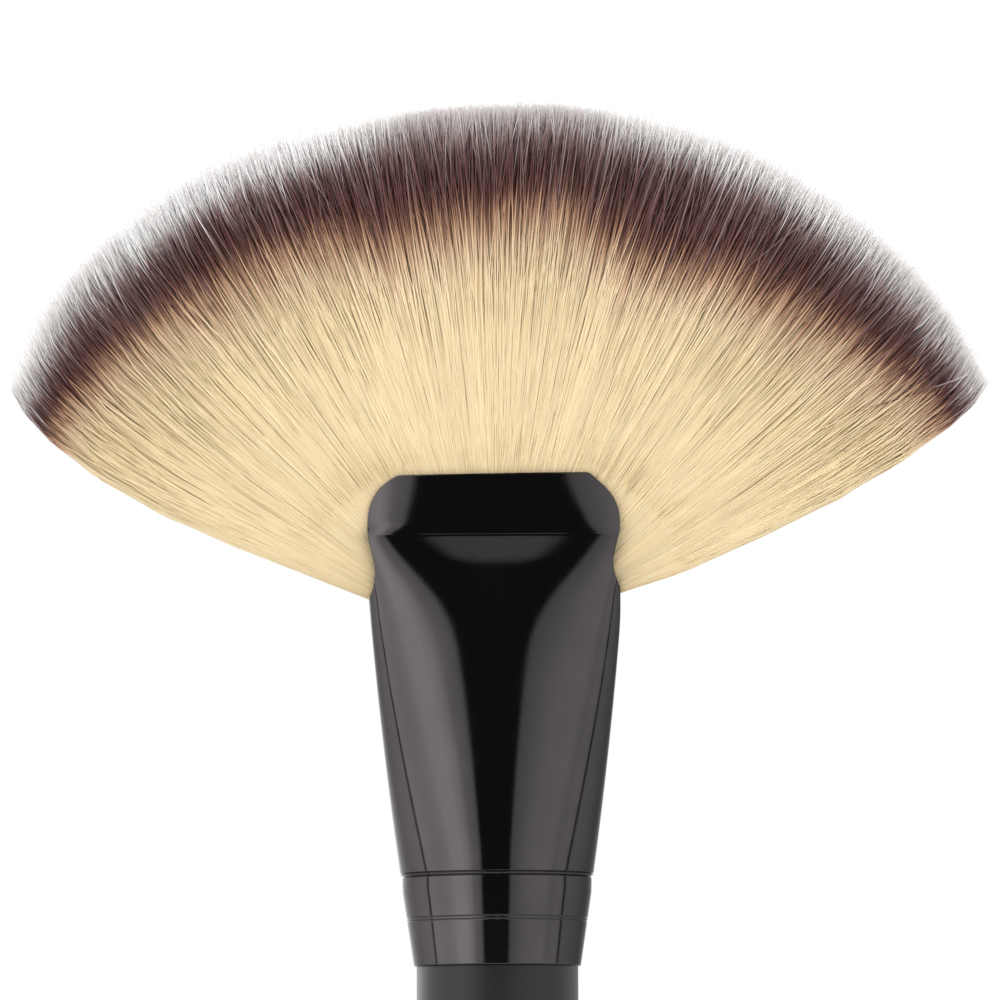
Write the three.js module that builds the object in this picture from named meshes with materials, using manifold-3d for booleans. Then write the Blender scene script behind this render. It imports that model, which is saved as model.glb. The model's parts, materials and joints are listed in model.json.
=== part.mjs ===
// Fan duster brush: a turned wooden handle, a drawn aluminium ferrule pressed flat at its mouth,
// and a fan of soft filaments tied with thread and cast in resin inside the ferrule.
// Millimetres, +Z up along the brush, X across the fan, Y through its thickness.
// The origin is the centre of the flat end of the handle.

import * as THREE from 'three';
import { mergeVertices } from 'three/addons/utils/BufferGeometryUtils.js';
import Module from 'manifold-3d';

const wasm = await Module();
wasm.setup();

// ---------------------------------------------------------------- driving dimensions

const GAP = 0.3; // air between two pieces that touch on the real brush

const FERRULE_LOW = 117.7; // end of the ferrule that meets the handle
const GROOVE_LOW = 122.1;
const STRAIGHT_LOW = 124.4;
const GROOVE_HIGH = 126.0;
const PRESS_START = 126.4; // the round tube starts to flatten here
const FLARE_START = 150.0;
const NOTCH_LOW = 150.85; // bottom of the open notch on each side of the mouth
const CREASE = 156.5; // below it the faces lean, above it they are upright
const MOUTH = 161.85;

const WALL = 0.5;
const END_RADIUS = 7.5;
const COLLAR_RADIUS = 8.5;
const PRESS_RADIUS = 8.65;
const MOUTH_HALF_DEPTH = 3.2;
const GROOVE_DEPTH = 0.3;
const GROOVE_HALF_WIDTH = 0.45;

const PLATE_HALF_WIDTH = 11.45; // the widest place of the two mouth plates
const PLATE_NECK = 10.78; // the narrowest place, just above the notch
const PLATE_TOP_HALF = 8.6; // half of the straight top edge
const CUT_RISE = 0.55; // the mouth is cut this much higher on the +X side
const TOP_RISE = 0.15;

const HANDLE_RADIUS = 7.3;
const HANDLE_SWELL = 7.75;
const HANDLE_END_RADIUS = 4.4;
const HANDLE_END_EDGE = 1.4; // rounding of the handle's end
const TENON_TOP = 133.7;

const FAN_CENTRE = 144.0; // height of the point that the filaments spread from
const FAN_RADIUS = 50.9;
const FAN_HALF_ANGLE = THREE.MathUtils.degToRad(59.2);
const FAN_BOW = THREE.MathUtils.degToRad(2.9); // the lowest filaments sag outward by this angle
const FAN_HALF_DEPTH = 4.6;
const TIP_HALF_DEPTH = 2.9;
const THIN_ANGLE = THREE.MathUtils.degToRad(68); // where the thinning towards the sides would reach zero

const TUFTS = 7;
const ROOT_REACH = 19.7; // the part of the fan that never moves ends at this radius
const HINGE_RADIUS = 23.2;
const TUFT_ROOT_HALF_DEPTH = 3.0;
const TUFT_GAP_LOW = 0.26; // half of the gap between two tufts, at the hinge and at the tips
const TUFT_GAP_HIGH = 0.68;

const ROOT_LOW = 137.0;
const ROOT_HALF_WIDTH = 7.6;
const ROOT_HALF_DEPTH = 3.35;
const ROOT_SPREAD_START = 145.0;
const RESIN_LOW = 134.0;
const RESIN_TOP = 145.6;
const THREAD_LOW = 139.4;
const THREAD_TURNS = 6;
const THREAD_DIAMETER = 0.5;

const SIDES = 40; // points round a section of the ferrule
const INNER_SIDES = 24; // points round a section of the pieces inside it
const HANDLE_SIDES = 30;

// ---------------------------------------------------------------- shared shapes

/** One closed ring of points: a superellipse, exponent 2 being an ellipse and higher ones squarer. */
function section(halfX, halfY, exponent, z, sides = SIDES) {
  const power = 2 / exponent;
  const ring = [];
  for (let i = 0; i < sides; i += 1) {
    const angle = (2 * Math.PI * i) / sides;
    const c = Math.cos(angle);
    const s = Math.sin(angle);
    const x = halfX * Math.sign(c) * Math.abs(c) ** power;
    const y = halfY * Math.sign(s) * Math.abs(s) ** power;
    ring.push(new THREE.Vector3(x, y, z));
  }
  return ring;
}

/** Skins a list of rings. A tube joins its last ring to its first; a solid gets an end face on each end. */
function skin(rings, isTube = false) {
  const sides = rings[0].length;
  const points = rings.flat();
  const index = [];
  const spans = isTube ? rings.length : rings.length - 1;
  for (let j = 0; j < spans; j += 1) {
    const low = j * sides;
    const high = ((j + 1) % rings.length) * sides;
    for (let i = 0; i < sides; i += 1) {
      const next = (i + 1) % sides;
      index.push(low + i, low + next, high + next, low + i, high + next, high + i);
    }
  }
  if (!isTube) {
    const last = (rings.length - 1) * sides;
    for (const [first, isTop] of [[0, false], [last, true]]) {
      const centre = new THREE.Vector3();
      for (let i = 0; i < sides; i += 1) centre.add(points[first + i]);
      points.push(centre.divideScalar(sides));
      for (let i = 0; i < sides; i += 1) {
        const next = (i + 1) % sides;
        index.push(points.length - 1, first + (isTop ? i : next), first + (isTop ? next : i));
      }
    }
  }
  const geometry = new THREE.BufferGeometry().setFromPoints(points);
  geometry.setIndex(index);
  return geometry;
}

/** A closed geometry as a solid that can be cut and joined. */
function toSolid(source) {
  const geometry = source.clone();
  geometry.deleteAttribute('normal');
  geometry.deleteAttribute('uv');
  const merged = mergeVertices(geometry, 1e-4);
  const vertProperties = new Float32Array(merged.attributes.position.array);
  const triVerts = new Uint32Array(merged.index.array);
  return new wasm.Manifold(new wasm.Mesh({ numProp: 3, vertProperties, triVerts }));
}

/** A solid back as a geometry. */
function toGeometry(solid) {
  const mesh = solid.getMesh();
  const geometry = new THREE.BufferGeometry();
  geometry.setAttribute('position', new THREE.BufferAttribute(mesh.vertProperties, 3));
  geometry.setIndex(new THREE.BufferAttribute(mesh.triVerts, 1));
  geometry.computeVertexNormals();
  return geometry;
}

/** A closed outline in the X-Z plane, extruded through the whole depth of the brush. */
function frontPrism(shape) {
  const depth = 60;
  const geometry = new THREE.ExtrudeGeometry(shape, { depth, bevelEnabled: false, curveSegments: 10 });
  geometry.rotateX(Math.PI / 2);
  geometry.translate(0, depth / 2, 0);
  return toSolid(geometry);
}

// ---------------------------------------------------------------- ferrule

/** Radius of the round, turned-in end of the ferrule below the place where it is pressed flat. */
function collarRadius(z) {
  const taper = THREE.MathUtils.mapLinear(z, FERRULE_LOW, STRAIGHT_LOW, END_RADIUS, COLLAR_RADIUS);
  return Math.min(taper, COLLAR_RADIUS);
}

/** Half width of the ferrule across the fan. It widens as it is pressed flat, and flares at the mouth. */
function halfWidth(z) {
  if (z < GROOVE_HIGH) return collarRadius(z);
  const t = (z - GROOVE_HIGH) / (FLARE_START - GROOVE_HIGH);
  const flare = 0.5 * THREE.MathUtils.smoothstep(z, FLARE_START, CREASE);
  return PRESS_RADIUS + 3.45 * t - 0.75 * t * t + flare;
}

/** Half depth of the ferrule: it leans in evenly to the crease, then stays upright. */
function halfDepth(z) {
  if (z < GROOVE_HIGH) return collarRadius(z);
  const lean = THREE.MathUtils.mapLinear(z, PRESS_START, CREASE, PRESS_RADIUS, MOUTH_HALF_DEPTH);
  return THREE.MathUtils.clamp(lean, MOUTH_HALF_DEPTH, PRESS_RADIUS);
}

/** How square the section is: a circle or ellipse low down, flat-faced at the mouth. */
function squareness(z) {
  return 2 + 1.2 * THREE.MathUtils.smoothstep(z, 147, CREASE);
}

/** Depth of the two rolled grooves at height z. */
function grooveDepth(z) {
  const nearest = Math.min(Math.abs(z - GROOVE_LOW), Math.abs(z - GROOVE_HIGH));
  return GROOVE_DEPTH * Math.max(0, 1 - nearest / GROOVE_HALF_WIDTH);
}

/** A section of the ferrule moved in from its outer face. */
function ferruleSection(z, inset) {
  const moved = inset + grooveDepth(z);
  return section(halfWidth(z) - moved, halfDepth(z) - moved, squareness(z), z);
}

/** Heights at which the ferrule's outer face has a ring: close at the grooves and the mouth. */
function outerHeights() {
  const heights = [FERRULE_LOW];
  for (const groove of [GROOVE_LOW, GROOVE_HIGH]) {
    heights.push(groove - GROOVE_HALF_WIDTH, groove, groove + GROOVE_HALF_WIDTH);
  }
  for (let z = 129.5; z < FLARE_START; z += 4) heights.push(z);
  heights.push(FLARE_START, 152, 154, 155.5, CREASE, 157.2, MOUTH + 2);
  return heights;
}

/** The outline of the mouth from the front: straight top, round shoulders, a neck, then the side notches. */
function mouthOutline(grow) {
  const low = 100;
  const wide = 30;
  const top = MOUTH + grow;
  const notch = NOTCH_LOW + grow;
  const shape = new THREE.Shape();
  const neckZ = notch + 2.65;
  const wideZ = notch + 6.15;
  const edge = (x, z, rise) => [x, z + rise * Math.sign(x)];
  shape.moveTo(-wide, low);
  shape.lineTo(wide, low);
  shape.lineTo(...edge(wide, notch, CUT_RISE));
  shape.lineTo(...edge(PLATE_HALF_WIDTH + 0.1 + grow, notch, CUT_RISE));
  shape.bezierCurveTo(
    ...edge(PLATE_NECK + 0.3 + grow, notch + 0.7, CUT_RISE),
    ...edge(PLATE_NECK + grow, neckZ - 1.1, CUT_RISE),
    ...edge(PLATE_NECK + grow, neckZ, CUT_RISE),
  );
  shape.bezierCurveTo(
    ...edge(PLATE_NECK + grow, neckZ + 1.3, CUT_RISE),
    ...edge(PLATE_HALF_WIDTH + grow, wideZ - 1.4, CUT_RISE),
    ...edge(PLATE_HALF_WIDTH + grow, wideZ, CUT_RISE),
  );
  shape.bezierCurveTo(
    ...edge(PLATE_HALF_WIDTH + grow, wideZ + 2.6, CUT_RISE),
    ...edge(PLATE_TOP_HALF + 1.6 + grow, top, TOP_RISE),
    ...edge(PLATE_TOP_HALF, top, TOP_RISE),
  );
  shape.lineTo(...edge(-PLATE_TOP_HALF, top, TOP_RISE));
  shape.bezierCurveTo(
    ...edge(-PLATE_TOP_HALF - 1.6 - grow, top, TOP_RISE),
    ...edge(-PLATE_HALF_WIDTH - grow, wideZ + 2.6, CUT_RISE),
    ...edge(-PLATE_HALF_WIDTH - grow, wideZ, CUT_RISE),
  );
  shape.bezierCurveTo(
    ...edge(-PLATE_HALF_WIDTH - grow, wideZ - 1.4, CUT_RISE),
    ...edge(-PLATE_NECK - grow, neckZ + 1.3, CUT_RISE),
    ...edge(-PLATE_NECK - grow, neckZ, CUT_RISE),
  );
  shape.bezierCurveTo(
    ...edge(-PLATE_NECK - grow, neckZ - 1.1, CUT_RISE),
    ...edge(-PLATE_NECK - 0.3 - grow, notch + 0.7, CUT_RISE),
    ...edge(-PLATE_HALF_WIDTH - 0.1 - grow, notch, CUT_RISE),
  );
  shape.lineTo(...edge(-wide, notch, CUT_RISE));
  shape.closePath();
  return shape;
}

/** The ferrule, or the space that it takes with a margin of grow all round. */
function ferruleSolid(grow = 0) {
  const outer = outerHeights().map((z) => ferruleSection(z, -grow));
  const innerHeights = outerHeights().reverse();
  const inner = innerHeights.map((z) => ferruleSection(z, WALL + grow));
  const tube = toSolid(skin([...outer, ...inner], true));
  return tube.intersect(frontPrism(mouthOutline(grow)));
}

// ---------------------------------------------------------------- handle

/** Turned handle: flat round-edged end, long taper, slight swell, shoulder under the ferrule, tenon. */
function handleGeometry() {
  const shoulder = FERRULE_LOW - GAP;
  const tenonRadius = END_RADIUS - WALL - GAP;
  const profile = [new THREE.Vector2(0, 0)];
  for (let i = 0; i <= 6; i += 1) {
    const angle = (Math.PI / 2) * (i / 6);
    const x = HANDLE_END_RADIUS - HANDLE_END_EDGE * (1 - Math.sin(angle));
    profile.push(new THREE.Vector2(x, HANDLE_END_EDGE * (1 - Math.cos(angle))));
  }
  const swellZ = 88;
  for (let i = 1; i <= 10; i += 1) {
    const t = i / 10;
    const x = HANDLE_END_RADIUS + (HANDLE_SWELL - HANDLE_END_RADIUS) * Math.sin((Math.PI / 2) * t);
    profile.push(new THREE.Vector2(x, HANDLE_END_EDGE + (swellZ - HANDLE_END_EDGE) * t));
  }
  const straight = shoulder - 6;
  for (let i = 1; i <= 5; i += 1) {
    const t = i / 5;
    const ease = (1 - Math.cos(Math.PI * t)) / 2;
    const x = HANDLE_SWELL + (HANDLE_RADIUS - HANDLE_SWELL) * ease;
    profile.push(new THREE.Vector2(x, swellZ + (straight - swellZ) * t));
  }
  profile.push(new THREE.Vector2(HANDLE_RADIUS, shoulder));
  profile.push(new THREE.Vector2(tenonRadius, shoulder));
  profile.push(new THREE.Vector2(tenonRadius, TENON_TOP - 0.6));
  profile.push(new THREE.Vector2(tenonRadius - 0.6, TENON_TOP));
  profile.push(new THREE.Vector2(0, TENON_TOP));
  const geometry = new THREE.LatheGeometry(profile, HANDLE_SIDES);
  geometry.rotateX(Math.PI / 2);
  return toGeometry(toSolid(geometry));
}

// ---------------------------------------------------------------- fan

/** How far the lowest filaments stand out from their straight line, as an angle at radius r. */
function bowAngle(r) {
  const start = 13;
  const t = THREE.MathUtils.clamp((r - start) / (FAN_RADIUS - start), 0, 1);
  return FAN_BOW * Math.sin(Math.PI * t);
}

/** How much thinner the fan is at angle theta than in its middle. */
function sideThinning(theta) {
  return Math.sqrt(1 - (theta / THIN_ANGLE) ** 2);
}

/** Half depth of the fan at radius r: thin at the mouth, fullest two thirds out, thin at the tips. */
function fanHalfDepth(r) {
  const t = THREE.MathUtils.clamp((r - HINGE_RADIUS) / (FAN_RADIUS - HINGE_RADIUS), 0, 1);
  const swell = (FAN_HALF_DEPTH - TUFT_ROOT_HALF_DEPTH) * Math.sin(Math.PI * Math.min(t * 0.8, 0.5));
  const drop = (FAN_HALF_DEPTH - TIP_HALF_DEPTH) * THREE.MathUtils.smoothstep(t, 0.62, 1);
  return TUFT_ROOT_HALF_DEPTH + swell - drop;
}

/** The spread of the filaments from the mouth to where they start to move, as a flat sector. */
function rootSector() {
  const edge = FAN_HALF_ANGLE;
  const shape = new THREE.Shape();
  shape.moveTo(0, FAN_CENTRE);
  const steps = 2 * TUFTS;
  for (let i = 0; i <= steps; i += 1) {
    const theta = -edge + (2 * edge * i) / steps;
    shape.lineTo(ROOT_REACH * Math.sin(theta), FAN_CENTRE + ROOT_REACH * Math.cos(theta));
  }
  shape.closePath();
  return frontPrism(shape);
}

/** The roots of the filaments: a tied block in the resin that spreads to fill the mouth and its notches. */
function rootBundle() {
  const block = [
    section(ROOT_HALF_WIDTH - 0.6, ROOT_HALF_DEPTH - 0.6, 2.4, ROOT_LOW, INNER_SIDES),
    section(ROOT_HALF_WIDTH, ROOT_HALF_DEPTH, 2.4, ROOT_LOW + 0.8, INNER_SIDES),
    section(ROOT_HALF_WIDTH, ROOT_HALF_DEPTH, 2.4, ROOT_SPREAD_START, INNER_SIDES),
    section(9.4, ROOT_HALF_DEPTH + 0.1, 2.5, 148.6, INNER_SIDES),
    section(11.4, 3.0, 3, 152, INNER_SIDES),
    section(17, 2.4, 4, 157, INNER_SIDES),
    section(18.5, 2.5, 4, 160, INNER_SIDES),
    section(18.5, 2.9, 4, 165, INNER_SIDES),
  ];
  const tied = frontPrism(rectangle(-12, 12, ROOT_LOW - 1, NOTCH_LOW - 1));
  const whole = toSolid(skin(block)).intersect(rootSector().add(tied));
  const pieces = whole.subtract(ferruleSolid(GAP)).decompose();
  pieces.sort((a, b) => b.volume() - a.volume());
  return toGeometry(pieces[0]);
}

/** A rectangle in the X-Z plane. */
function rectangle(left, right, low, high) {
  const shape = new THREE.Shape();
  shape.moveTo(left, low);
  shape.lineTo(right, low);
  shape.lineTo(right, high);
  shape.lineTo(left, high);
  shape.closePath();
  return shape;
}

/** Direction of tuft k, as an angle from +Z towards +X. */
function tuftAngle(k) {
  return ((2 * FAN_HALF_ANGLE) / TUFTS) * (k - (TUFTS - 1) / 2);
}

/** One ring of a tuft, at distance along from the fan's centre, in the tuft's own upright frame. */
function tuftRing(k, along, halfDepthHere, end) {
  const halfAngle = FAN_HALF_ANGLE / TUFTS;
  const t = (along - HINGE_RADIUS) / (FAN_RADIUS - HINGE_RADIUS);
  const gap = THREE.MathUtils.lerp(TUFT_GAP_LOW, TUFT_GAP_HIGH, THREE.MathUtils.clamp(t, 0, 1));
  const plain = along * Math.tan(halfAngle) - gap;
  const bowed = along * Math.tan(halfAngle + bowAngle(along)) - 0.1;
  const left = k === 0 ? bowed : plain;
  const right = k === TUFTS - 1 ? bowed : plain;
  return section(1, 1, 5, 0, 20).map((unit) => {
    const across = unit.x * (unit.x < 0 ? left : right);
    const theta = tuftAngle(k) + Math.atan2(across, along);
    const depth = unit.y * halfDepthHere * Math.min(1, sideThinning(THREE.MathUtils.clamp(theta, -1.05, 1.05)));
    const drop = end * (FAN_RADIUS - Math.sqrt(FAN_RADIUS ** 2 - across ** 2));
    return new THREE.Vector3(across, depth, along - drop);
  });
}

/** A sector of free filaments, round at its root about the line on which it bends. */
function tuftGeometry(k) {
  const rings = [];
  const rootSteps = 4;
  for (let i = 0; i < rootSteps; i += 1) {
    const angle = (Math.PI / 2) * ((i + 0.6) / (rootSteps + 0.6));
    const along = HINGE_RADIUS - TUFT_ROOT_HALF_DEPTH * Math.cos(angle);
    rings.push(tuftRing(k, along, TUFT_ROOT_HALF_DEPTH * Math.sin(angle), 0));
  }
  const bodySteps = 8;
  for (let i = 0; i <= bodySteps; i += 1) {
    const t = i / bodySteps;
    const along = THREE.MathUtils.lerp(HINGE_RADIUS, FAN_RADIUS - 1, t);
    rings.push(tuftRing(k, along, fanHalfDepth(along), t));
  }
  rings.push(tuftRing(k, FAN_RADIUS - 0.3, TIP_HALF_DEPTH * 0.8, 1));
  rings.push(tuftRing(k, FAN_RADIUS, TIP_HALF_DEPTH * 0.5, 1));
  const geometry = skin(rings);
  geometry.rotateY(tuftAngle(k));
  geometry.translate(0, 0, FAN_CENTRE);
  return geometry;
}

// ---------------------------------------------------------------- inside the ferrule

/** Cast resin: fills the ferrule round the tied roots, open at the top where the filaments leave it. */
function resinPlug() {
  const heights = [RESIN_LOW, 137, 140, 143, RESIN_TOP];
  const body = heights.map((z) => ferruleSection(z, WALL + GAP));
  const pocketX = ROOT_HALF_WIDTH + THREAD_DIAMETER + 3 * GAP;
  const pocketY = ROOT_HALF_DEPTH + THREAD_DIAMETER + 2 * GAP;
  const pocket = [ROOT_LOW - GAP, RESIN_TOP + 5].map((z) => section(pocketX, pocketY, 2.4, z, INNER_SIDES));
  return toGeometry(toSolid(skin(body)).subtract(toSolid(skin(pocket))));
}

/** Binding thread: close turns round the roots, each turn a bulge of the wound band. */
function bindingThread() {
  const inner = GAP;
  const outer = GAP + THREAD_DIAMETER;
  const rings = [];
  for (let turn = 0; turn < THREAD_TURNS; turn += 1) {
    const low = THREAD_LOW + turn * THREAD_DIAMETER;
    for (const [rise, out] of [[0, 0.72], [0.35, 1], [0.65, 1]]) {
      const reach = inner + (outer - inner) * out;
      const z = low + rise * THREAD_DIAMETER;
      rings.push(section(ROOT_HALF_WIDTH + reach, ROOT_HALF_DEPTH + reach, 2.4, z, INNER_SIDES));
    }
  }
  const top = THREAD_LOW + THREAD_TURNS * THREAD_DIAMETER;
  for (const z of [top, THREAD_LOW]) {
    rings.push(section(ROOT_HALF_WIDTH + inner, ROOT_HALF_DEPTH + inner, 2.4, z, INNER_SIDES));
  }
  return skin(rings, true);
}

// ---------------------------------------------------------------- assembly

const FINISHES = {
  lacquer: { color: 0x37373b, roughness: 0.55, metalness: 0 },
  blackMetal: { color: 0x121215, roughness: 0.12, metalness: 0.9 },
  resin: { color: 0xd8c27a, roughness: 0.3, metalness: 0 },
  thread: { color: 0xe8e2d2, roughness: 0.9, metalness: 0 },
  filament: { color: 0xeadcb0, roughness: 0.7, metalness: 0 },
};

/** A named piece of the brush in one of the finishes. */
function piece(name, geometry, finish) {
  const mesh = new THREE.Mesh(geometry, new THREE.MeshStandardMaterial(FINISHES[finish]));
  mesh.name = name;
  return mesh;
}

const brush = new THREE.Group();
brush.add(piece('handle', handleGeometry(), 'lacquer'));
brush.add(piece('ferrule', toGeometry(ferruleSolid()), 'blackMetal'));
brush.add(piece('resin_plug', resinPlug(), 'resin'));
brush.add(piece('binding_thread', bindingThread(), 'thread'));
brush.add(piece('root_bundle', rootBundle(), 'filament'));
for (let k = 0; k < TUFTS; k += 1) {
  brush.add(piece(`bristle_tuft_${k + 1}`, tuftGeometry(k), 'filament'));
}

export default brush;
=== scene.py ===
"""Dresses the fan duster brush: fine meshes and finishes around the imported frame.

Sizes are in millimetres in the classes and in metres in the meshes. +Z runs up the brush, +X across the
fan and +Y through its thickness; the front of the brush is at -Y.
"""

import json
import logging
import math
from dataclasses import dataclass
from enum import Enum
from typing import Sequence

import bpy
import numpy as np
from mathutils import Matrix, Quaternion, Vector


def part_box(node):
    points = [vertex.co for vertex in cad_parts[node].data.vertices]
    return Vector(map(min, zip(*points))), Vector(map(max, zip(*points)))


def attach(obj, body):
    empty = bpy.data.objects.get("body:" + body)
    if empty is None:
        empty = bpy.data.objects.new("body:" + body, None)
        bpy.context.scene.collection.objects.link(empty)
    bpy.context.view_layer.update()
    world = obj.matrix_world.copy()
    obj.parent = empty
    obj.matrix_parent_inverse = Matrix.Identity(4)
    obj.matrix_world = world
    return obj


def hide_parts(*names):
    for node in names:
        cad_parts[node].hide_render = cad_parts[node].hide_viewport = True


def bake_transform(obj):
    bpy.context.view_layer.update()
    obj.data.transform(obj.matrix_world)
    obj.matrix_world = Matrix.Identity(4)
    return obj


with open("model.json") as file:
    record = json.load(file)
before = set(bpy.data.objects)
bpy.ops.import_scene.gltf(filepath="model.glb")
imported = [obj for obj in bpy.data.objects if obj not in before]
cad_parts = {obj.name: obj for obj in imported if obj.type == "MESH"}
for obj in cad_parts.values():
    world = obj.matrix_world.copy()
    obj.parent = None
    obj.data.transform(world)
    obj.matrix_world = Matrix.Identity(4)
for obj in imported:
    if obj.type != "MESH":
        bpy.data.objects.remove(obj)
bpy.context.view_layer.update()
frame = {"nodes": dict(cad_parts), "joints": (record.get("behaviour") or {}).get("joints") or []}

MM = 0.001
BODY = "brush_body"
STRAND_MAP = "OFBake"

log = logging.getLogger("fan_duster_brush")

Array = np.ndarray
Colour = tuple[float, float, float]
Pair = tuple[float, float]
Object = bpy.types.Object
Material = bpy.types.Material
Tree = bpy.types.NodeTree
Socket = bpy.types.NodeSocket


# ---------------------------------------------------------------- mesh helpers


def smooth_ramp(value: Array, low: float, high: float) -> Array:
    """Rises from 0 at low to 1 at high along 3t^2 - 2t^3.

    Args:
        value: numbers to place on the ramp.
        low: where the ramp starts.
        high: where it ends.

    Returns:
        The ramp's height at each number.
    """
    t = np.clip((np.asarray(value, float) - low) / (high - low), 0.0, 1.0)
    return t * t * (3.0 - 2.0 * t)


def grid_quads(rows: int, columns: int, wrap_rows: bool = False, wrap_columns: bool = True) -> Array:
    """Quads of a grid of points that is stored row after row.

    Args:
        rows: number of rows.
        columns: points in a row.
        wrap_rows: whether the last row is joined to the first.
        wrap_columns: whether each row closes on itself.

    Returns:
        One line of four point numbers for each quad.
    """
    j = np.arange(rows if wrap_rows else rows - 1)[:, None]
    i = np.arange(columns if wrap_columns else columns - 1)[None, :]
    right = (i + 1) % columns
    up = (j + 1) % rows
    quads = [j * columns + i, j * columns + right, up * columns + right, up * columns + i]
    return np.stack(np.broadcast_arrays(*quads), axis=-1).reshape(-1, 4)


def disc_fan(centre: int, ring: Array, faces_up: bool) -> Array:
    """Triangles from a centre point to a ring, which close the end of a surface.

    Args:
        centre: number of the centre point.
        ring: numbers of the ring's points in turn.
        faces_up: whether the ring runs anticlockwise as the outside sees it.

    Returns:
        One line of three point numbers for each triangle.
    """
    following = np.roll(ring, -1)
    first, second = (ring, following) if faces_up else (following, ring)
    return np.stack([np.full(len(ring), centre), first, second], axis=-1)


def make_mesh(name: str, points: Array, faces: Sequence[Array]) -> Object:
    """Turns arrays into a smooth-shaded object at the origin.

    Args:
        name: name of the object and its mesh.
        points: one line of x, y, z in millimetres for each point.
        faces: arrays of faces, each with its own number of corners.

    Returns:
        The new object, in the scene.
    """
    sizes = np.concatenate([np.full(len(f), f.shape[1], np.int32) for f in faces])
    corners = np.concatenate([np.asarray(f, np.int32).ravel() for f in faces])
    starts = np.concatenate([[0], np.cumsum(sizes)[:-1]]).astype(np.int32)
    mesh = bpy.data.meshes.new(name)
    mesh.vertices.add(len(points))
    mesh.vertices.foreach_set("co", (np.asarray(points, float) * MM).astype(np.float32).ravel())
    mesh.loops.add(len(corners))
    mesh.loops.foreach_set("vertex_index", corners)
    mesh.polygons.add(len(sizes))
    mesh.polygons.foreach_set("loop_start", starts)
    mesh.polygons.foreach_set("use_smooth", np.ones(len(sizes), bool))
    mesh.update(calc_edges=True)
    obj = bpy.data.objects.new(name, mesh)
    bpy.context.scene.collection.objects.link(obj)
    return obj


def closed_tube(name: str, rows: Array, ends: Array, flipped: bool = False) -> Object:
    """A tube through rows of points, closed by a fan of triangles at each end.

    Args:
        name: name of the object.
        rows: rows of points round the tube, from its low end to its high end.
        ends: the middle points of the two ends.
        flipped: whether the rows run clockwise as seen from the high end.

    Returns:
        The new object.
    """
    count, sides = rows.shape[:2]
    ring = np.arange(sides)
    quads = grid_quads(count, sides)
    low = disc_fan(count * sides, ring, flipped)
    high = disc_fan(count * sides + 1, (count - 1) * sides + ring, not flipped)
    points = np.vstack([rows.reshape(-1, 3), ends])
    return make_mesh(name, points, [quads[:, ::-1] if flipped else quads, low, high])


def turned(name: str, profile: Array, sides: int) -> Object:
    """A turned solid: each point of the profile is carried round the brush's axis.

    The point at angle a of a profile point (r, z) is (r cos a, r sin a, z); the ends close on the axis.

    Args:
        name: name of the object.
        profile: one line of radius, height in millimetres, from the low end to the high end.
        sides: points round the axis.

    Returns:
        The new object.
    """
    angle = 2.0 * np.pi * np.arange(sides) / sides
    radius, height = profile[:, :1], profile[:, 1:]
    x, y = radius * np.cos(angle), radius * np.sin(angle)
    rows = np.stack([x, y, np.broadcast_to(height, x.shape)], axis=-1)
    ends = np.array([[0.0, 0.0, profile[0, 1]], [0.0, 0.0, profile[-1, 1]]])
    return closed_tube(name, rows, ends)


def outline(radius: Array, height: Array) -> Array:
    """Lines of radius, height for a turned profile."""
    return np.stack([radius, height], axis=-1)


def by_side(side: Array, pair: Pair) -> Array:
    """Picks the pair's first value where side is below 0 and its second value elsewhere."""
    return np.where(side < 0.0, pair[0], pair[1])


def superellipse(angle: Array, half_x: Array, half_y: Array, exponent: Array) -> tuple[Array, Array]:
    """A rounded section: x = a |cos|^(2/n), y = b |sin|^(2/n), with the signs of cos and sin.

    Args:
        angle: angle round the section.
        half_x: half width a.
        half_y: half depth b.
        exponent: n, 2 for an ellipse and more for flatter sides.

    Returns:
        The x and y of each point.
    """
    power = 2.0 / exponent
    c, s = np.cos(angle), np.sin(angle)
    return half_x * np.sign(c) * np.abs(c) ** power, half_y * np.sign(s) * np.abs(s) ** power


# ---------------------------------------------------------------- finishes


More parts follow.
